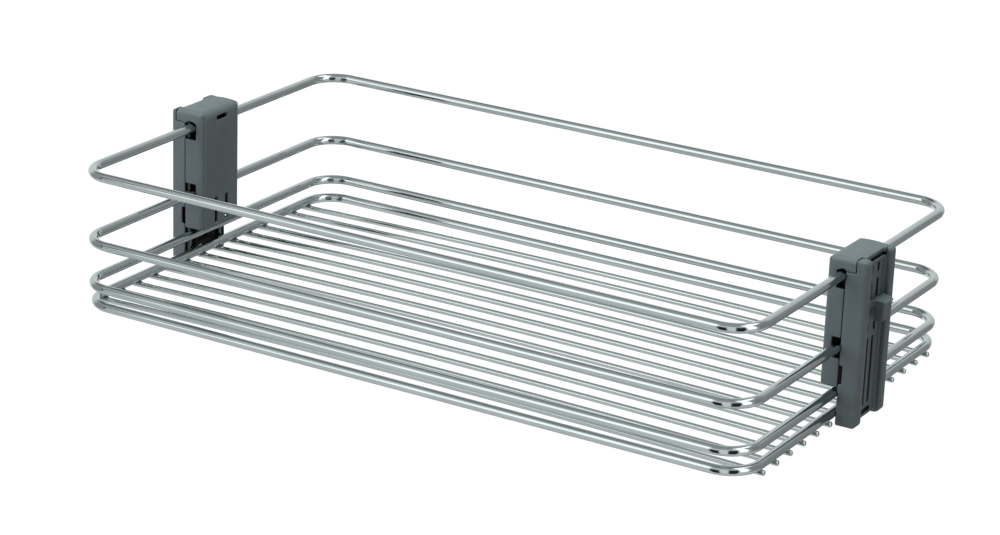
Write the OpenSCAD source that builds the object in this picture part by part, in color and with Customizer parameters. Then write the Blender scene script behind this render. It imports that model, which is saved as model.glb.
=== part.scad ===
// Clip-in wire basket for a pull out tall unit.
// X runs along the basket, Y across it and Z up. The origin is on the plane that the clips
// stand on, below the middle of the basket. Sizes are in millimetres.

/* [Basket] */
// Outside length over the end rails
basket_l = 467; // [400:1:560]
// Outside width over the side rails
basket_w = 275; // [240:1:400]
// Diameter of the hoops' rails
rail_d = 6; // [5:0.1:6.6]
// Inside bend radius of the hoops' corners
bend_r = 17; // [12:1:35]
// Rise from the base hoop to the lower hoop, between centres
lower_rise = 12.6; // [9:0.1:14]
// Rise from the base hoop to the middle hoop, between centres
middle_rise = 41; // [38:0.5:50]
// Rise from the base hoop to the top hoop, between centres
top_rise = 85.3; // [80:0.1:110]
// How far each long side of the base hoop is set in from the others
base_inset = 2.2; // [0:0.1:5]
// Depth that two crossing wires sink into each other at a weld
weld_sink = 0.3; // [0.1:0.05:0.5]

/* [Floor and uprights] */
// Diameter of the floor wires and of the uprights
wire_d = 3.5; // [3:0.1:3.6]
// Number of floor wires
wire_count = 14; // [8:1:16]
// Distance from a side rail's centre to the first floor wire's
wire_margin = 20.5; // [12:0.1:30]
// How far a floor wire's cut end stands past the end rail
wire_over = 0.9; // [0.2:0.1:1]
// Camber of the floor: rise of each wire's middle over its ends
floor_rise = 2.5; // [1:0.1:4]
// Width of the bevel round each wire's cut end
wire_bevel = 0.5; // [0.2:0.1:0.8]

/* [Clip body] */
// Width of the clip along the end rail
clip_w = 40; // [38:0.5:48]
// Distance from the end rail's centre to the clip's face inside the basket
clip_in = 9.5; // [8.5:0.5:14]
// Distance from the end rail's centre to the clip's face outside the basket
clip_out = 16.2; // [15.6:0.1:22]
// Height of the base hoop's centre above the clip's foot
foot_drop = 7; // [6.5:0.5:12]
// Wall thickness of both halves
wall = 1.8; // [1.4:0.1:1.9]
// Rounding of the cover's upright corners
cover_r = 4; // [2.5:0.5:6]
// Rounding of the carrier's outer corners
flange_r = 2.5; // [1.8:0.1:3]
// Rounding of the channel's mouth
mouth_r = 1.5; // [0.5:0.1:1.8]
// Gap between the two halves along their seam
seam_gap = 0.4; // [0.2:0.1:0.8]

/* [Hood] */
// Thickness of the hood's roof
roof_t = 3; // [2:0.1:4]
// Clear height between the top rail and the crown of the roof
hood_gap = 5.4; // [3.6:0.1:7]
// Radius of the crowned roof
crown_r = 70; // [40:1:120]
// Rounding of the hood's upper edges
hood_r = 3; // [1:0.1:3.4]
// Rounding of the hood's upper edge inside the basket
brow_r = 5; // [3:0.1:6]
// Reach of the hood's short tab past the end rail's centre
short_tab = 8.8; // [7:0.1:10]
// Reach of the hood's long tab past the end rail's centre
long_tab = 12.4; // [10.5:0.1:12.6]

/* [Post channel] */
// Width of each flange beside the channel that takes the frame's post
flange_w = 7.5; // [7.4:0.1:9]
// Depth of the channel
channel_d = 3.9; // [3:0.1:6]
// Width of each slot in the web
slot_w = 3.3; // [2.5:0.1:3.6]
// Distance between the centres of the two guide slots
guide_span = 9; // [8:0.5:10]
// Distance between the centres of the two long slots under them
long_span = 7.2; // [6:0.2:10]
// Length of the guide slots that the hook slides in
guide_l = 31.7; // [28:0.1:34]
// Height of the short slots above the guide slots
short_slot_l = 6; // [3:0.5:7]
// Width of the cross bar between one slot and the next
slot_bar = 3.7; // [2:0.1:4]

/* [Hook] */
// Height of the hook's slide, from its pad's top to its legs' ends
slide_h = 14.8; // [12:0.1:18]
// Height of the pad that lies on the web
pad_h = 3.6; // [3:0.1:6]
// Thickness of the pad
pad_t = 1.8; // [1:0.1:1.9]
// Height of the wing's underside above the finger's tip
finger_h = 10; // [7:0.5:11]
// Width of the finger
finger_w = 5; // [4:0.5:9]
// Depth of the finger
finger_d = 6.3; // [4:0.1:7]
// Thickness of the sheet that the finger hooks over
hook_gap = 2; // [1.5:0.1:3]
// Thickness of the wing where it meets the pad
wing_t = 2.7; // [2:0.1:4]
// How far the wing stands out of the channel
wing_proud = 3.7; // [1:0.1:4]
// Height of the legs' ends above the lower ends of the guide slots, as stored
hook_rest = 5.2; // [2:0.1:8]

/* [Clearances] */
// Clearance of a rail in the plastic round it
rail_gap = 0.15; // [0.1:0.05:0.3]
// Clearance of the hook in its channel and slots
slide_gap = 0.25; // [0.15:0.05:0.3]

/* [Hidden] */
$fn = 48;
eps = 0.01;
rail_r = rail_d / 2;
wire_r = wire_d / 2;
bore_r = rail_r + rail_gap;
hoop_l = basket_l - rail_d;
hoop_w = basket_w - rail_d;
base_w = hoop_w - 2 * base_inset;
turn_r = bend_r + rail_r;
end_x = hoop_l / 2;
base_z = foot_drop;
lower_z = base_z + lower_rise;
middle_z = base_z + middle_rise;
top_z = base_z + top_rise;

// Wires
floor_z = base_z - rail_r - wire_r + weld_sink;
floor_l = hoop_l + rail_d + 2 * wire_over;
upright_x = rail_r + wire_r - weld_sink;
upright_y = clip_w / 2 - flange_w / 2;
upright_lo = base_z - rail_r;
upright_hi = top_z + rail_r;

// Clip, in a frame with its origin on the end rail's line and +X out of the basket
half_w = clip_w / 2;
half_channel = half_w - flange_w;
web_t = wall + 0.2;
web_out = clip_out - channel_d;
web_in = web_out - web_t;
near_seam = rail_r - 0.8;
far_seam = upright_x + 0.7;
roof_z = top_z + rail_r + hood_gap;
hood_z = roof_z + roof_t;
crown_x = 1;
ear_drop = 0.7;
ear_z = hood_z - ear_drop;
tab_z = top_z + bore_r;
tab_r = 2;
rim_x = web_out - 1;
cover_z = lower_z + rail_r + 1.2;

// Windows and slots of the cover
window_low = 8;
window_half = 6.4;
window_r = 3.5;
arch_h = 0.9;
arch_x = rail_r + 0.5;
vent_w = 11;
vent_h = 2.9;
vent_z = tab_z + 0.2;
snap_w = 3.2;
snap_span = 11.4;
snap_z = cover_z + 2.5;
snap_l = 17.4;
catch_h = 4;
cover_rib_y = 13;
carrier_rib_y = 9.6;
rib_t = 1.6;
seat_l = 4;
seat_t = 3;
notch_d = 2.4;
notch_z = cover_z + 2.2;
notch_l = 11.5;

// Slots of the carrier's web, from the top down
web_z = roof_z - 2;
web_foot = 1.7;
short_z = web_z - 2.2 - short_slot_l;
guide_hi = short_z - slot_bar;
guide_lo = guide_hi - guide_l;
long_hi = guide_lo - slot_bar;
sill_z = web_foot + 1.8;
sill_w = 15;
sill_h = 3.2;
long_lo = sill_z + sill_h + 2.6;
shade_x = web_in - 3;
shade_lo = 0.6;
shade_hi = base_z + 2;
rib_hi = web_z + 0.8;
foot_r = 4;
finger_r = 3;
ear_r = 3.5;
lip_r = 1.2;

// Hook
leg_lo = guide_lo + hook_rest;
pad_z = leg_lo + slide_h - pad_h;
wing_z = leg_lo + slide_h - wing_t;
pad_in = web_out + slide_gap;
wing_out = clip_out + wing_proud;
finger_in = pad_in + hook_gap;
leg_w = slot_w - 2 * slide_gap;
barb = 0.8;
barb_t = 1.4;
barb_out = web_in - slide_gap;

function two(i) = i < 10 ? str("0", i) : str(i);
function wire_name(i) = str("floor_wire_", two(i));

// A rectangle whose four corners each have their own radius, counted from the low corner round
module round_rect(x0, x1, y0, y1, r = [0, 0, 0, 0]) {
    corners = [[x0, y0, 1, 1], [x1, y0, -1, 1], [x1, y1, -1, -1], [x0, y1, 1, -1]];
    difference() {
        translate([x0, y0]) square([x1 - x0, y1 - y0]);
        for (i = [0:3])
            if (r[i] > 0)
                translate([corners[i][0], corners[i][1]])
                    scale([corners[i][2], corners[i][3]])
                        translate([-eps, -eps]) square(r[i] + eps);
    }
    for (i = [0:3])
        if (r[i] > 0)
            intersection() {
                translate([corners[i][0] + corners[i][2] * r[i], corners[i][1] + corners[i][3] * r[i]])
                    circle(r[i]);
                translate([x0, y0]) square([x1 - x0, y1 - y0]);
            }
}

// Extrude a plan outline from z0 to z1
module tall(z0, z1) {
    translate([0, 0, z0]) linear_extrude(z1 - z0) children();
}

// Extrude an X-Z outline across the clip, from y0 to y1
module across(y0, y1) {
    translate([0, y1, 0]) rotate([90, 0, 0]) linear_extrude(y1 - y0) children();
}

// Extrude a Y-Z outline along the clip, from x0 to x1
module along(x0, x1) {
    translate([x0, 0, 0]) rotate([90, 0, 90]) linear_extrude(x1 - x0) children();
}

module box(lo, hi) {
    translate(lo) cube(hi - lo);
}

// Put a clip's piece at its end of the basket; the left clip is the right one turned round
module at_end(side) {
    rotate([0, 0, side > 0 ? 0 : 180]) translate([end_x, 0, 0]) children();
}

// A closed rail: four straight runs joined by quarter bends
module hoop(l, w, z) {
    run_l = l - 2 * turn_r;
    run_w = w - 2 * turn_r;
    color("silver") translate([0, 0, z])
        for (s = [-1, 1]) {
            translate([-run_l / 2, s * w / 2, 0]) rotate([0, 90, 0]) cylinder(h = run_l, r = rail_r);
            translate([s * l / 2, run_w / 2, 0]) rotate([90, 0, 0]) cylinder(h = run_w, r = rail_r);
            for (t = [-1, 1])
                translate([s * run_l / 2, t * run_w / 2, 0])
                    rotate([0, 0, s > 0 ? (t > 0 ? 0 : 270) : (t > 0 ? 90 : 180)])
                        rotate_extrude(angle = 90) translate([turn_r, 0]) circle(rail_r);
        }
}

// A straight wire along Z with both cut ends bevelled
module cut_wire(l) {
    cylinder(h = wire_bevel, r1 = wire_r - wire_bevel, r2 = wire_r);
    translate([0, 0, wire_bevel]) cylinder(h = l - 2 * wire_bevel, r = wire_r);
    translate([0, 0, l - wire_bevel]) cylinder(h = wire_bevel, r1 = wire_r, r2 = wire_r - wire_bevel);
}

// A wire in a shallow arch over the floor's length, with both cut ends bevelled
module floor_wire(i) {
    wire_pitch = (base_w - 2 * wire_margin) / (wire_count - 1);
    y = (i - (wire_count + 1) / 2) * wire_pitch;
    arch_r = (pow(floor_l / 2, 2) + pow(floor_rise, 2)) / (2 * floor_rise);
    sweep = asin((floor_l / 2 - wire_bevel) / arch_r);
    color("silver") translate([0, y, floor_z + floor_rise - arch_r]) rotate([90, 0, 0]) {
        rotate([0, 0, 90 - sweep])
            rotate_extrude(angle = 2 * sweep, $fn = 6000) translate([arch_r, 0]) circle(wire_r, $fn = 48);
        for (s = [-1, 1])
            rotate([0, 0, 90 + s * sweep]) translate([arch_r, 0, 0]) rotate([-s * 90, 0, 0])
                cylinder(h = wire_bevel, r1 = wire_r, r2 = wire_r - wire_bevel);
    }
}

module upright(sx, sy) {
    color("silver") translate([sx * (end_x + upright_x), sy * upright_y, upright_lo])
        cut_wire(upright_hi - upright_lo);
}

// The two side walls differ: one meets the seam further in and under a shorter tab of the hood
function seam_x(side) = side > 0 ? far_seam : near_seam;
function tab_x(side) = side > 0 ? long_tab : short_tab;
function low_y(side) = side > 0 ? 0 : -half_w - eps;
function high_y(side) = side > 0 ? half_w + eps : 0;

// The space under the crowned roof's arc, t below its outside, as an X-Z outline
module under_crown(t) {
    translate([crown_x, hood_z - crown_r]) {
        circle(crown_r - t, $fn = 144);
        translate([t - crown_r, -hood_z]) square([2 * (crown_r - t), hood_z]);
    }
}

// The crowned roof with both of its long edges rounded, and all that is below it
module crown_body() {
    translate([crown_x, 0, hood_z - crown_r]) {
        rotate([90, 0, 0]) rotate_extrude($fn = 144)
            round_rect(0, crown_r, -half_w, half_w, [0, hood_r, hood_r, 0]);
        box([-crown_r, -half_w, -hood_z], [crown_r, half_w, 0]);
    }
}

// The outside of the inner half: a hooded box with round corners and upper edges
module cover_shape() {
    edge_x = -clip_in + brow_r;
    edge_z = hood_z - crown_r + sqrt(pow(crown_r, 2) - pow(crown_x - edge_x, 2)) - brow_r;
    intersection() {
        tall(cover_z, hood_z)
            round_rect(-clip_in, long_tab, -half_w, half_w, [cover_r, 0, 0, cover_r]);
        across(-half_w, half_w) {
            translate([edge_x, cover_z]) square([long_tab - edge_x, hood_z - cover_z]);
            round_rect(-clip_in, edge_x + brow_r, cover_z, edge_z + brow_r, [0, 0, brow_r, brow_r]);
        }
        crown_body();
    }
}

// A rail's window through one side wall, open to the seam
module rail_window(side, z, below, above) {
    across(low_y(side), high_y(side))
        translate([-bore_r, z - below]) square([seam_x(side) + bore_r + eps, below + above]);
}

// What is cut away from one side of the cover
module side_cuts(side) {
    // the side wall ends at the seam, below the hood's tab
    across(low_y(side), high_y(side))
        round_rect(seam_x(side), clip_out, 0, tab_z, [0, 0, 0, side > 0 ? tab_r + seam_gap : 0]);
    // the tab ends before the carrier's ear
    if (tab_x(side) < long_tab)
        box([tab_x(side), -half_w - eps, 0], [clip_out, seam_gap - half_channel, hood_z + eps]);
    rail_window(side, top_z, window_low, bore_r);
    rail_window(side, middle_z, window_half, window_half);
    // the round shoulder of the window above the top rail
    across(low_y(side), high_y(side))
        round_rect(-bore_r, side > 0 ? arch_x : near_seam, top_z, tab_z + arch_h, [0, 0, 0, window_r]);
    // snap slot
    box([-clip_in - eps, side * snap_span / 2 - snap_w / 2, snap_z],
        [-clip_in + wall + eps, side * snap_span / 2 + snap_w / 2, snap_z + snap_l]);
}

// Ribs inside the cover that back the top and middle rails
module cover_ribs() {
    difference() {
        for (s = [-1, 1])
            box([-clip_in + wall - eps, s * cover_rib_y - rib_t / 2, cover_z + wall],
                [0, s * cover_rib_y + rib_t / 2, roof_z + 0.2]);
        across(-half_w, half_w)
            for (z = [middle_z, top_z])
                translate([0, z]) circle(bore_r);
    }
}

// The catch on the springy strip between the two snap slots, which bears under the middle rail
module cover_catch() {
    across(-snap_span / 2 + snap_w, snap_span / 2 - snap_w)
        polygon([
            [-clip_in + wall - eps, middle_z - bore_r - 2 * catch_h],
            [-rail_r, middle_z - bore_r - catch_h / 2],
            [-rail_r + rib_t, middle_z - bore_r],
            [-clip_in + wall - eps, middle_z - bore_r]
        ]);
}

module cover() {
    color("slategray") {
        difference() {
            cover_shape();
            // the hollow under the roof
            intersection() {
                tall(0, hood_z)
                    round_rect(-clip_in + wall, clip_out, -half_w + wall, half_w - wall,
                        [cover_r - wall, 0, 0, cover_r - wall]);
                across(-half_w, half_w) under_crown(roof_t);
            }
            for (side = [-1, 1]) side_cuts(side);
            // between the tabs the roof ends at its rim
            box([rim_x, seam_gap - half_channel - eps, 0], [clip_out, half_channel - seam_gap, hood_z + eps]);
            // vent above the top rail
            box([-clip_in - eps, -vent_w / 2, vent_z], [-clip_in + wall + eps, vent_w / 2, vent_z + vent_h]);
        }
        cover_ribs();
        cover_catch();
    }
}

// One flange beside the post channel, hollow and open towards the basket, as built at +Y
module flange(side) {
    back_x = seam_x(side) + seam_gap;
    difference() {
        intersection() {
            tall(0, ear_z) round_rect(back_x, clip_out, half_channel, half_w, [0, mouth_r, flange_r, 0]);
            across(0, half_w + eps) {
                round_rect(back_x, clip_out, 0, tab_z - seam_gap, [0, foot_r, 0, side > 0 ? tab_r : 0]);
                round_rect(tab_x(side) + seam_gap, clip_out, 2 * foot_r, ear_z, [0, 0, ear_r, 0]);
            }
            along(back_x, clip_out) round_rect(half_channel, half_w, 0, ear_z, [0, lip_r, lip_r, lip_r]);
        }
        // the hollow, closed at the foot and at the ear
        box([back_x - eps, half_channel + wall, wall], [clip_out - wall, half_w - wall, ear_z - wall]);
        // behind the web both flanges and the web share one hollow
        box([back_x - eps, half_channel - eps, -eps], [web_in, half_channel + wall + eps, ear_z + eps]);
        // the rails
        across(0, half_w + eps)
            for (z = [base_z, lower_z, middle_z, top_z])
                translate([0, z]) circle(bore_r);
        // notch in the side wall at the seam
        box([back_x - eps, half_w - wall - eps, notch_z], [back_x + notch_d, half_w + eps, notch_z + notch_l]);
    }
}

// The web with two columns of slots, and the sill opening under them
module web() {
    difference() {
        box([web_in, -half_channel - eps, web_foot], [web_out, half_channel + eps, web_z]);
        for (s = [-1, 1])
            for (slot = [[long_span, long_lo, long_hi], [guide_span, guide_lo, guide_hi],
                    [guide_span, short_z, short_z + short_slot_l]])
                box([web_in - eps, s * slot[0] / 2 - slot_w / 2, slot[1]],
                    [web_out + eps, s * slot[0] / 2 + slot_w / 2, slot[2]]);
        box([web_in - eps, -sill_w / 2, sill_z], [web_out + eps, sill_w / 2, sill_z + sill_h]);
    }
}

// Ribs behind the web that bear on the rails, with a seat under the middle rail, and the cross
// plate that closes the clip behind the sill opening
module carrier_ribs() {
    box([shade_x, -half_w + wall / 2, shade_lo], [shade_x + rib_t, half_w - wall / 2, shade_hi]);
    for (s = [-1, 1])
        translate([0, s * carrier_rib_y - rib_t / 2, 0]) {
            box([bore_r, 0, base_z], [web_in + eps, rib_t, rib_hi]);
            box([-seat_l / 2, 0, middle_z - bore_r - seat_t], [bore_r + eps, rib_t, middle_z - bore_r]);
        }
}

module carrier() {
    color("dimgray") {
        flange(1);
        mirror([0, 1, 0]) flange(-1);
        web();
        carrier_ribs();
    }
}

// The catch: a pad on the web with a wing, a finger in front and two barbed legs behind
module hook() {
    pad_half = half_channel - slide_gap;
    color("slategray") {
        box([pad_in, -pad_half, pad_z], [pad_in + pad_t, pad_half, pad_z + pad_h]);
        intersection() {
            across(-finger_w / 2, pad_half)
                polygon([
                    [pad_in, wing_z],
                    [wing_out, wing_z],
                    [wing_out, wing_z + wing_t / 4],
                    [pad_in + pad_t, wing_z + wing_t],
                    [pad_in, wing_z + wing_t]
                ]);
            tall(wing_z - eps, wing_z + wing_t + eps)
                round_rect(pad_in, wing_out, -half_channel, pad_half, [0, 0, lip_r, 0]);
        }
        intersection() {
            tall(wing_z - finger_h, wing_z + wing_t)
                round_rect(finger_in, finger_in + finger_d, -finger_w / 2, finger_w / 2, [0, lip_r, lip_r, 0]);
            across(-finger_w / 2, finger_w / 2)
                round_rect(finger_in, finger_in + finger_d, wing_z - finger_h, wing_z + wing_t,
                    [lip_r, finger_r, lip_r, 0]);
        }
        box([pad_in, -finger_w / 2, wing_z], [finger_in + lip_r, finger_w / 2, wing_z + wing_t]);
        for (s = [-1, 1])
            translate([0, s * guide_span / 2, 0]) {
                box([barb_out - barb_t, -leg_w / 2, leg_lo], [web_out, leg_w / 2, leg_lo + slide_h]);
                box([web_out - eps, -leg_w / 2, pad_z], [pad_in + eps, leg_w / 2, leg_lo + slide_h]);
                box([barb_out - barb_t, s > 0 ? 0 : -leg_w / 2 - slide_gap - barb, leg_lo],
                    [barb_out, s > 0 ? leg_w / 2 + slide_gap + barb : 0, leg_lo + slide_h]);
            }
    }
}

hoop(hoop_l, hoop_w, top_z);  // top_hoop
hoop(hoop_l, hoop_w, middle_z);  // middle_hoop
hoop(hoop_l, hoop_w, lower_z);  // lower_hoop
hoop(hoop_l, base_w, base_z);  // base_hoop
for (i = [1:wire_count]) floor_wire(i);
upright(-1, -1);  // left_front_upright
upright(-1, 1);  // left_rear_upright
upright(1, -1);  // right_front_upright
upright(1, 1);  // right_rear_upright
at_end(-1) cover();  // left_cover
at_end(1) cover();  // right_cover
at_end(-1) carrier();  // left_carrier
at_end(1) carrier();  // right_carrier
at_end(-1) hook();  // left_hook
at_end(1) hook();  // right_hook
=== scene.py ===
"""A clip-in wire basket for a pull out tall unit: chrome plated wire, with a grey moulded clip on
each end."""
import math

import bmesh
import bpy
import numpy as np
from mathutils import Matrix, Vector


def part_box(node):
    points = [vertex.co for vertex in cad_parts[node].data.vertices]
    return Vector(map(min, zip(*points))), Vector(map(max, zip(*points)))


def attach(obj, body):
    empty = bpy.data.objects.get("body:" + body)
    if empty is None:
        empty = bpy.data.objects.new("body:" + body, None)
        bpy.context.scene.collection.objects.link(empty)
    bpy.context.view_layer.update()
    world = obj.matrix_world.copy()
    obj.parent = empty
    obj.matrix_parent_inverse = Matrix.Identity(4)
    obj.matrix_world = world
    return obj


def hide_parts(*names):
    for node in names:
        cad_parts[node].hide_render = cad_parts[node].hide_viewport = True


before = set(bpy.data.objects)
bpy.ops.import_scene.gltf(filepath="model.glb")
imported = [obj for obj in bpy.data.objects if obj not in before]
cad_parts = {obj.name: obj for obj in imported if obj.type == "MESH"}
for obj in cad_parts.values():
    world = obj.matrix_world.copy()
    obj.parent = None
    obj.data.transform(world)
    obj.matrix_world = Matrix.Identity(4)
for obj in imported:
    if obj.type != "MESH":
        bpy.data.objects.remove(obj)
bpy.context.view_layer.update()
MM = 0.001


# ---- The view ----
# A long lens, 1.9 m away in front of the basket and to its right. It looks down by 20 degrees and
# is rolled by 2 degrees.
def look(azimuth, elevation, roll, eye, lens):
    """Camera axes: the view direction from azimuth and elevation, its level right and up
    directions, and both of these turned about the view direction by the roll."""
    a, e, t = (math.radians(v) for v in (azimuth, elevation, roll))
    ahead = np.array([math.cos(e) * math.sin(a), math.cos(e) * math.cos(a), -math.sin(e)])
    level = np.cross(ahead, [0, 0, 1])
    level /= np.linalg.norm(level)
    upward = np.cross(level, ahead)
    right = math.cos(t) * level + math.sin(t) * upward
    up = math.cos(t) * upward - math.sin(t) * level
    camera = bpy.data.objects.new("camera", bpy.data.cameras.new("camera"))
    bpy.context.scene.collection.objects.link(camera)
    place = np.eye(4)
    place[:3, :3] = np.column_stack([right, up, -ahead])
    place[:3, 3] = np.array(eye) * MM
    camera.matrix_world = Matrix(place)
    camera.data.lens = lens
    camera.data.clip_end = 50
    bpy.context.scene.camera = camera


look(azimuth=-30.614, elevation=19.827, roll=2.112, eye=(918.2, -1565.8, 695.5), lens=112.36)


# ---- Rails ----
# Four closed rails of drawn steel wire, each bent and butt welded. The whole wire frame is welded
# up first and then chrome plated, bright but for faint drawing lines and a slow ripple.
def plug(node, sockets):
    """Set a node's sockets, by name or number, to constants or to links from values."""
    for key, value in sockets.items():
        if isinstance(value, Value):
            node.id_data.links.new(node.inputs[key], value.socket)
        else:
            node.inputs[key].default_value = value


class Value:
    """One output socket of a material or world, with arithmetic that adds Math nodes."""

    def __init__(self, socket):
        self.socket = socket

    def node(self, kind, settings, sockets, out=0):
        """A new node of that kind: its settings first, then its sockets' values or links."""
        made = self.socket.id_data.nodes.new(kind)
        for name, value in settings.items():
            setattr(made, name, value)
        plug(made, sockets)
        return Value(made.outputs[out])

    def math(self, operation, *others):
        """A Math node with this value first."""
        return self.node("ShaderNodeMath", {"operation": operation}, dict(enumerate((self, *others))))

    def __add__(self, other):
        return self.math("ADD", other)

    def __sub__(self, other):
        return self.math("SUBTRACT", other)

    def __rsub__(self, other):
        return self.node("ShaderNodeMath", {"operation": "SUBTRACT"}, {0: other, 1: self})

    def __mul__(self, other):
        return self.math("MULTIPLY", other)

    __radd__, __rmul__ = __add__, __mul__

    def ramp(self, low, high, to_low=0.0, to_high=1.0):
        """This value's stretch from low to high, mapped smoothly to the other two numbers."""
        return self.node("ShaderNodeMapRange", {"interpolation_type": "SMOOTHSTEP"},
                         {"Value": self, "From Min": low, "From Max": high, "To Min": to_low,
                          "To Max": to_high})

    def band(self, low, high, edge):
        """1 where this value lies between the two bounds, 0 elsewhere, with soft edges."""
        return self.ramp(low - edge, low + edge) * self.ramp(high - edge, high + edge, 1.0, 0.0)

    def mix(self, first, second):
        """The first colour where this value is 0 and the second where it is 1. A Mix node has sockets
        of the same names for numbers and vectors, so its colour sockets go by number."""
        return self.node("ShaderNodeMix", {"data_type": "RGBA"}, {"Factor": self, 6: first, 7: second}, 2)

    def parts(self):
        """The three components of this vector."""
        split = self.node("ShaderNodeSeparateXYZ", {}, {"Vector": self}).socket.node
        return [Value(output) for output in split.outputs]

    def stretched(self, factors):
        """These coordinates times three factors: a pattern on them is long where a factor is small."""
        return self.node("ShaderNodeMapping", {}, {"Vector": self, "Scale": factors})

    def noise(self, scale, detail, roughness=0.5):
        """Noise over these coordinates."""
        return self.node("ShaderNodeTexNoise", {},
                         {"Vector": self, "Scale": scale, "Detail": detail, "Roughness": roughness})

    def bump(self, strength, distance):
        """Normals bent by this height."""
        return self.node("ShaderNodeBump", {}, {"Height": self, "Strength": strength, "Distance": distance})


def material(name):
    """A new node material: its shader, and the Object coordinates to draw on it with."""
    made = bpy.data.materials.new(name)
    made.use_nodes = True
    place = Value(made.node_tree.nodes.new("ShaderNodeTexCoord").outputs["Object"])
    return made, made.node_tree.nodes["Principled BSDF"], place


def chrome(name, stretch, tints, dull):
    """Plating whose colour wanders between two tints in slow clouds. Its drawing lines are noise
    stretched along the wire, and they roughen it a little beyond its dullness. Its height is a slow
    ripple and a trace of the lines."""
    made, shader, place = material(name)
    lines = place.stretched(stretch).noise(scale=900, detail=2)
    ripple = place.noise(scale=60, detail=1)
    cloud = place.noise(scale=14, detail=3)
    rough = lines.ramp(0.3, 0.8, dull, dull + LINES_DULL) + CLOUD_DULL * cloud
    height = LINES_HEIGHT * lines + ripple
    plug(shader, {"Metallic": 1.0,
                  "Base Color": cloud.ramp(*NOISE_SPAN).mix(*tints),
                  "Roughness": rough,
                  "Normal": height.bump(strength=0.035, distance=1 * MM)})
    return made


NOISE_SPAN = 0.3, 0.7
LINES_ALONG, LINES_HEIGHT, LINES_DULL, CLOUD_DULL = 0.01, 0.12, 0.045, 0.02
BRIGHT = (0.475, 0.53, 0.53, 1), (0.53, 0.58, 0.58, 1)
bright_chrome = chrome("chrome_along_x", (LINES_ALONG, 1, 1), BRIGHT, dull=0.055)
MERGE = 0.002


def mesh_of(name, points, faces, finish):
    """A smooth mesh from points in millimetres. Points that coincide, as at a pole, become one."""
    mesh = bpy.data.meshes.new(name)
    mesh.from_pydata((points * MM).tolist(), [], faces)
    work = bmesh.new()
    work.from_mesh(mesh)
    bmesh.ops.remove_doubles(work, verts=work.verts, dist=MERGE * MM)
    work.to_mesh(mesh)
    work.free()
    mesh.polygons.foreach_set("use_smooth", np.ones(len(mesh.polygons), bool))
    mesh.materials.append(finish)
    made = bpy.data.objects.new(name, mesh)
    bpy.context.scene.collection.objects.link(made)
    return made


def skin(name, grids, finish, ring=False):
    """One mesh from grids of points, each of the same shape (rows, columns, 3). Four neighbours make
    a face. The last column joins the first, and on a ring the last row joins the first. Faces
    point out where the columns run anticlockwise, seen against the rows' direction."""
    rows, columns = grids[0].shape[:2]
    index = np.arange(rows * columns).reshape(rows, columns)
    here, ahead = (index, np.roll(index, -1, 0)) if ring else (index[:-1], index[1:])
    quads = np.stack([here, np.roll(here, -1, 1), np.roll(ahead, -1, 1), ahead], -1).reshape(-1, 4)
    faces = np.concatenate([quads + k * rows * columns for k in range(len(grids))])
    return mesh_of(name, np.concatenate([grid.reshape(-1, 3) for grid in grids]), faces.tolist(), finish)


def dress(piece, body="basket", node=None):
    """The piece's body, and the CAD node that it stands for, if there is one."""
    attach(piece, body)
    if node:
        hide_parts(node)


def box(node):
    """A CAD node's lowest and highest corners, in millimetres."""
    low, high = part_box(node)
    return np.array(low) / MM, np.array(high) / MM


def rounded_loop(length, width, radius, per_bend=28, per_run=10):
    """A rounded rectangle's centre line, anticlockwise, and its outward direction at each point:
    each corner's centre plus the radius times the direction, which turns a quarter at each bend
    and stays put along the straight run to the next corner."""
    corners = np.array([(1, 1), (-1, 1), (-1, -1), (1, -1)]) * (np.array([length, width]) / 2 - radius)
    turn = np.linspace(0, math.pi / 2, per_bend + 1)
    run = np.linspace(0, 1, per_run + 1)[1:-1, None]
    points, outward = [], []
    for k, corner in enumerate(corners):
        angle = turn + k * math.pi / 2
        out = np.stack([np.cos(angle), np.sin(angle)], 1)
        straight = corner + run * (corners[(k + 1) % 4] - corner)
        points += [corner + radius * out, straight + radius * out[-1]]
        outward += [out, np.repeat(out[-1:], len(run), 0)]
    return np.concatenate(points), np.concatenate(outward)


def rail(place, sides=40):
    """A closed rail on its hoop's box: a circle of the rail's radius carried round the rounded
    rectangle, at point = centre + r (cos u outward - sin u up). Returns the rail's height."""
    low, high = box(f"{place}_hoop")
    length, width = (high - low)[:2] - 2 * RAIL
    height = low[2] + RAIL
    path, outward = rounded_loop(length, width, BEND)
    u = np.linspace(0, 2 * math.pi, sides, endpoint=False)
    grid = np.zeros((len(path), sides, 3))
    grid[..., :2] = path[:, None] + RAIL * np.cos(u)[:, None] * outward[:, None]
    grid[..., 2] = height - RAIL * np.sin(u)
    dress(skin(f"{place}_rail", [grid], bright_chrome, ring=True), node=f"{place}_hoop")
    return height


# radii of the rail and of its centre line at a bend
RAIL, BEND = 3.0, 20.0
rail_heights = [rail(place) for place in ("top", "middle", "lower", "base")]
END_X = box("top_hoop")[1][0] - RAIL


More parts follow.
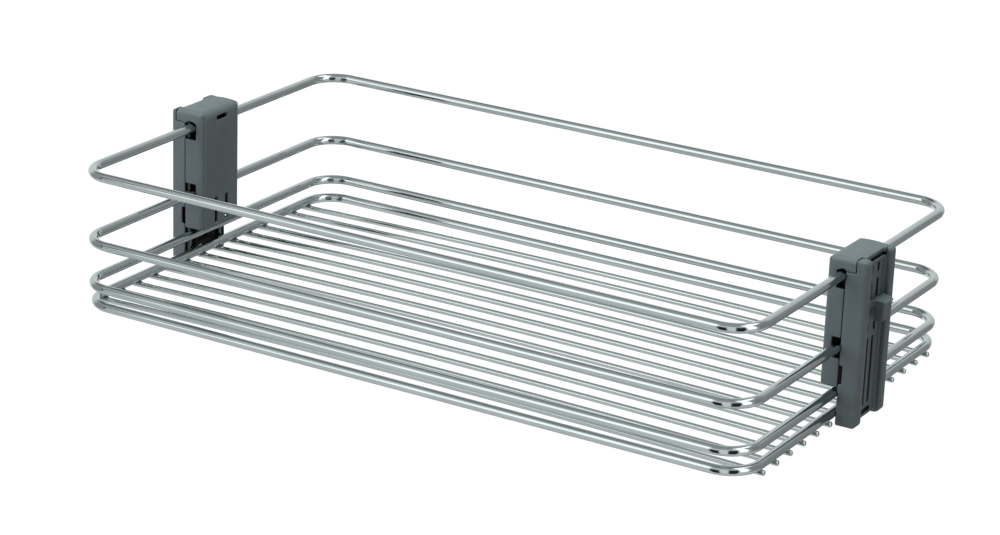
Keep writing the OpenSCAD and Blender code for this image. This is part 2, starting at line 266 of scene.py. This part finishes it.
# ---- Floor wires ----
# Fourteen thinner wires of the same steel are welded under the base rail from end to end, each
# cambered so that it sags flat under a load. Their cut ends, a little past the end rails, are
# tumbled round.
def rod(length, radius, roll, dome, sides=24, runs=40):
    """A round rod along x: radius against distance. The edge of each end is rolled over by a quarter
    circle, and its face bulges by the dome's height times 1 - (r / face)^2."""
    t = np.linspace(0, math.pi / 2, 7)
    edge_r = radius - roll + roll * np.sin(t)
    edge_x = dome + roll - roll * np.cos(t)
    face = np.array([0, 0.3, 0.6, 0.85])
    face_r = face * (radius - roll)
    face_x = dome * face ** 2
    middle = np.linspace(dome + roll, length - dome - roll, runs + 1)[1:-1]
    r = np.concatenate([face_r, edge_r, np.full(len(middle), radius), edge_r[::-1], face_r[::-1]])
    x = np.concatenate([face_x, edge_x, middle, length - edge_x[::-1], length - face_x[::-1]])
    u = np.linspace(0, 2 * math.pi, sides, endpoint=False)
    return np.stack([np.repeat(x[:, None], sides, 1), r[:, None] * np.cos(u), r[:, None] * np.sin(u)], -1)


# radius, number, and reach past the end rails
WIRE, WIRES, WIRE_OVER = 1.75, 14, 0.9
WIRE_ROLL, WIRE_DOME = 1.1, 0.15
# height of the ends, and how much higher the middle is
FLOOR_Z, FLOOR_RISE = 2.55, 2.5
FLOOR_HALF = END_X + RAIL + WIRE_OVER
wire_rows = []
for i in range(WIRES):
    node = f"floor_wire_{i + 1:02d}"
    wire_rows.append(sum(box(node))[1] / 2)
    grid = rod(2 * FLOOR_HALF, WIRE, WIRE_ROLL, WIRE_DOME)
    grid[..., 0] -= FLOOR_HALF
    grid[..., 1] += wire_rows[-1]
    grid[..., 2] += FLOOR_Z + FLOOR_RISE * (1 - (grid[..., 0] / FLOOR_HALF) ** 2)
    dress(skin(f"{node}_chrome", [grid], bright_chrome), node=node)


# ---- Uprights ----
# Two thin wires at each end stand outside the four rails, welded to all of them. Each clip is
# snapped round its pair. Their chrome is painted dark, as painted shade for the dark inside of the
# clips, and it is dull, so it only glints through the clip's windows.
# painted shade: dark tints for the chrome of the uprights and the welds, where shade falls inside the clips
# and under the rails
PAINTED_SHADE_TINTS = (0.10, 0.11, 0.115, 1), (0.15, 0.16, 0.165, 1)
painted_shade_chrome = chrome("painted_shade_chrome_along_z", (1, 1, LINES_ALONG), PAINTED_SHADE_TINTS, dull=0.2)
UPRIGHT_ROLL, UPRIGHT_DOME = 0.55, 0.12
upright_places = []
for side in ("left", "right"):
    for face in ("front", "rear"):
        node = f"{side}_{face}_upright"
        low, high = box(node)
        middle = (low + high) / 2
        upright_places.append(middle[:2])
        grid = rod(high[2] - low[2], WIRE, UPRIGHT_ROLL, UPRIGHT_DOME)
        grid = grid[..., [1, 2, 0]] + [middle[0], middle[1], low[2]]
        dress(skin(f"{node}_chrome", [grid], painted_shade_chrome), node=node)


# ---- Welds ----
# Resistance welds: where two wires cross they are pressed and fused together, which squeezes a
# small smooth pillow of steel out of the joint. It takes the uprights' dark chrome, painted shade
# for the rail above it and the clip round it.
def pillow(centre, half):
    """A flattened ball: latitude v and longitude u on an ellipsoid with the given half axes."""
    v = np.linspace(-math.pi / 2, math.pi / 2, 13)
    u = np.linspace(0, 2 * math.pi, 18, endpoint=False)
    ball = np.stack([np.cos(v)[:, None] * np.cos(u), np.cos(v)[:, None] * np.sin(u),
                     np.repeat(np.sin(v)[:, None], len(u), 1)], -1)
    return np.array(centre) + ball * np.array(half)


# half axes of a weld, and how far in its middle lies: from the end rails' centre line on the floor
# wires, and from their outer side on the uprights
FLOOR_WELD, FLOOR_WELD_IN = (2.9, 1.7, 0.95), 1.3
UPRIGHT_WELD, UPRIGHT_WELD_IN = (0.75, 1.6, 1.9), 0.1
floor_weld_x = END_X - FLOOR_WELD_IN
floor_weld_z = (FLOOR_Z + WIRE + rail_heights[-1] - RAIL) / 2
upright_weld_x = END_X + RAIL - UPRIGHT_WELD_IN
pillows = [pillow((sx * floor_weld_x, y, floor_weld_z), FLOOR_WELD) for sx in (-1, 1) for y in wire_rows]
pillows += [pillow((math.copysign(upright_weld_x, x), y, z), UPRIGHT_WELD)
            for x, y in upright_places for z in rail_heights]
# the welds' dark chrome is painted shade round the joints
dress(skin("welds", pillows, painted_shade_chrome))


# ---- Clips ----
# Each clip is two halves moulded in slate grey glass filled nylon: the cover inside the basket
# and the carrier outside it. They snap together round the end rails and the two uprights.
def moulded(name, base, high, painted_shade_colour):
    """Moulded plastic: a fine spark eroded grain over faint clouds and flow lines. Between the
    bounds of the hollow, inside the clip's walls, it is painted near black as painted shade, and it
    is rougher."""
    made, shader, place = material(name)
    x, y, z = place.parts()
    # painted shade: the colour goes near black in the hollow inside the clip's walls, where shade falls
    hollow_shade_mask = (x.math("ABSOLUTE").band(*(HOLLOW_X * MM)) * y.band(*(HOLLOW_Y * MM))
              * z.band(*(HOLLOW_Z * MM)))
    grain = place.noise(scale=2600, detail=2, roughness=0.6)
    cloud = place.noise(scale=35, detail=3)
    flow = place.stretched((1, 1, FLOW_ALONG)).noise(scale=120, detail=2)
    shade = (0.6 * cloud + 0.4 * flow).ramp(*NOISE_SPAN)
    height = grain + 0.6 * flow
    plug(shader, {"IOR": 1.5,
                  "Base Color": hollow_shade_mask.mix(shade.mix(base, high), painted_shade_colour),
                  "Roughness": grain.ramp(0.2, 0.8, *SATIN) + HOLLOW_DULL * hollow_shade_mask,
                  "Normal": height.bump(strength=0.18, distance=0.1 * MM)})
    return made


SATIN, HOLLOW_DULL, FLOW_ALONG = (0.42, 0.54), 0.4, 0.25
# low bound, high bound and soft edge
HOLLOW_X, HOLLOW_Y, HOLLOW_Z = np.array([(221.9, 242.1, 0.4), (-18.7, 18.7, 0.3), (1.2, 101.1, 0.4)])
# the inside colour is painted shade: near black for the dark hollow inside the clips
slate = moulded("slate_plastic", base=(0.052, 0.066, 0.073, 1), high=(0.066, 0.083, 0.09, 1),
                painted_shade_colour=(0.006, 0.006, 0.007, 1))


def softened(name, node, finish, cell, passes):
    """A node's solid as moulded: its merged mesh drawn again on a grid of even cells, and then each
    point moved halfway to its neighbours' mean, pass by pass. This rounds edges and keeps flats."""
    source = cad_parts[node].data
    points = np.zeros(len(source.vertices) * 3)
    source.vertices.foreach_get("co", points)
    made = mesh_of(name, points.reshape(-1, 3) / MM, [list(p.vertices) for p in source.polygons], finish)
    grid = made.modifiers.new("grid", "REMESH")
    grid.mode, grid.voxel_size, grid.use_smooth_shade = "VOXEL", cell * MM, True
    relax = made.modifiers.new("edges", "SMOOTH")
    relax.factor, relax.iterations = 0.5, passes
    return made


CLIP_CELL, CLIP_PASSES = 0.43, 5
for side in ("left", "right"):
    for half in ("cover", "carrier"):
        node = f"{side}_{half}"
        piece = softened(f"{node}_half", node, slate, CLIP_CELL, CLIP_PASSES)
        dress(piece, node=node)


# ---- Latches ----
# Each cover snaps into its carrier by a thin tongue behind the notch in either side wall, moulded
# with the cover. It fills the notch from behind, and it lies in the clip's hollow, where the plastic
# is painted near black as painted shade, so the clip is dark there.
def tongue(centre, half, low, high):
    """A flat bar along z: the squarish oval x = a sign(cos u) |cos u|^0.3, and y likewise with
    sin u. At both ends it draws in by a quarter circle and then closes to a line."""
    u = np.linspace(0, 2 * math.pi, 32, endpoint=False)
    turn = np.stack([np.cos(u), np.sin(u)], 1)
    oval = np.sign(turn) * np.abs(turn) ** 0.3
    t = np.linspace(0, math.pi / 2, 5)
    inset = np.concatenate([[min(half)], TONGUE_CORNER * (1 - np.sin(t))])
    rise = np.concatenate([[0], TONGUE_CORNER * (1 - np.cos(t))])
    inset = np.concatenate([inset, inset[::-1]])
    height = np.concatenate([low + rise, high - rise[::-1]])
    grid = np.zeros((len(height), len(u), 3))
    grid[..., :2] = np.array(centre) + oval * (np.array(half) - inset[:, None, None])
    grid[..., 2] = height[:, None]
    return grid


WALL, TONGUE_T, TONGUE_CORNER = 1.8, 0.7, 0.3
# reach outwards from the end rail's centre line, and heights
TONGUE_X, TONGUE_Z = (-1.4, 3.35), (23.9, 38.0)
tongue_y = box("right_cover")[1][1] - WALL - TONGUE_T / 2
tongue_half = (TONGUE_X[1] - TONGUE_X[0]) / 2, TONGUE_T / 2
for side, sx in (("left", -1), ("right", 1)):
    tongue_x = sx * (END_X + sum(TONGUE_X) / 2)
    pair = [tongue((tongue_x, sy * tongue_y), tongue_half, *TONGUE_Z) for sy in (-1, 1)]
    dress(skin(f"{side}_latch_tongues", pair, slate))


# ---- Hooks ----
# The catch in each post channel, moulded in the same plastic. It slides up and down in the web's
# two guide slots, held by the barbs on its legs, and hooks its finger into the frame's post.
HOOK_CELL, HOOK_PASSES = 0.2, 4
for side in ("left", "right"):
    piece = softened(f"{side}_hook_catch", f"{side}_hook", slate, HOOK_CELL, HOOK_PASSES)
    dress(piece, body=f"{side}_catch", node=f"{side}_hook")


# ---- Table ----
# A plain white table under the basket, not part of it. It glows evenly, so the basket casts only
# a trace of a shadow on it, and the chrome doesn't show it.
TABLE_HALF = 6000.0
table_white, shader = material("table_white")[:2]
plug(shader, {"Base Color": (0.05, 0.05, 0.05, 1), "Roughness": 0.9, "Specular IOR Level": 0.0,
              "Emission Color": (1, 1, 1, 1), "Emission Strength": 1.0})
corners = np.array([(-1, -1, 0), (1, -1, 0), (1, 1, 0), (-1, 1, 0)]) * TABLE_HALF
table = mesh_of("table", corners, [[0, 1, 2, 3]], table_white)
table.visible_glossy = False


# ---- Studio ----
# Two softboxes, overhead and in front, light the plastic. What the chrome shows is the room round
# them: pale panels, the dark gaps between these, and a dim ceiling.
def softbox(name, place, target, size, power, colour):
    """A square area light aimed at a point, in metres and watts. No reflection shows it."""
    light = bpy.data.lights.new(name, "AREA")
    light.size, light.energy, light.color = size, power, colour
    lamp = bpy.data.objects.new(name, light)
    bpy.context.scene.collection.objects.link(lamp)
    lamp.location = place
    lamp.rotation_mode = "QUATERNION"
    lamp.rotation_quaternion = (Vector(target) - Vector(place)).to_track_quat("-Z", "Y")
    lamp.visible_glossy = False


def room(panels):
    """The room's brightness by direction. Azimuth runs from -Y towards +X and elevation from the
    horizon up. Each panel covers those before it. Only reflections show the room."""
    world = bpy.data.worlds.new("studio")
    bpy.context.scene.world = world
    world.use_nodes = True
    world.cycles_visibility.diffuse = False
    nodes = world.node_tree.nodes
    x, y, z = Value(nodes.new("ShaderNodeTexCoord").outputs["Generated"]).parts()
    azimuth = x.math("ARCTAN2", 0 - y) * math.degrees(1)
    elevation = z.math("ARCSINE") * math.degrees(1)
    level = elevation.ramp(*SURROUND)
    for low, high, bottom, top, brightness, edge in panels:
        panel = azimuth.band(low, high, edge) * elevation.band(bottom, top, edge)
        level = level + panel * (brightness - level)
    cool = level.node("ShaderNodeCombineColor", {}, {"Red": RED * level, "Green": level, "Blue": level})
    plug(nodes["Background"], {"Color": cool})


# the share of red in the room's light, and elevation from and to with the brightness at both
RED, SURROUND = 0.985, (-70, -20, 0.72, 0.80)
# azimuth from and to, elevation from and to, brightness, and the width of the soft edge, in degrees
PANELS = [
    # the ceiling and what hangs from it
    (-400, 400, 42, 200, 0.44, 7),
    (-92, -58, 48, 68, 0.54, 6),
    (60, 175, 54, 72, 2.2, 4),
    # the back of the room, dark on the right and open on the left, lighter above than below
    (95, 170, -35, 44, 0.33, 10),
    (-400, -165, -35, 40, 0.62, 10),
    (165, 400, -35, 40, 0.62, 10),
    (-400, -160, 8, 38, 0.80, 7),
    (158, 400, 8, 38, 0.78, 7),
    (132, 162, 10, 36, 0.41, 8),
    (-400, -152, -62, -24, 0.24, 5),
    (158, 400, -62, -24, 0.24, 5),
    (-168, -148, -24, 34, 0.88, 7),
    # a white wall on the left, its shaded ends and its foot
    (-150, -98, -36, 27, 0.92, 5),
    (-150, -98, 32, 52, 0.19, 5),
    (-152, -122, -75, -40, 0.45, 6),
    (-92, -44, -32, 44, 0.41, 8),
    (-46, -37, -5, 34, 0.05, 2),
    # the front: a strip light beside the camera, and dark gaps round a pale screen
    (-56, -34, 37, 52, 0.92, 5),
    (-38, -20, 6, 44, 1.8, 5),
    (-20, 8, -50, 14, 0.03, 4),
    (9, 31, -40, 40, 0.95, 3),
    (33, 61, -50, 30, 0.03, 3),
    (65, 90, -12, 62, 2.2, 3),
]
softbox("overhead", place=(0.1, -0.1, 1.7), target=(0, 0, 0), size=1.1, power=55,
        colour=(0.98, 1.04, 0.96))
softbox("front", place=(-0.9, -1.5, 0.75), target=(0, 0, 0.05), size=1.8, power=48,
        colour=(0.97, 1.0, 1.03))
room(PANELS)
bpy.context.scene.view_settings.view_transform = "Standard"
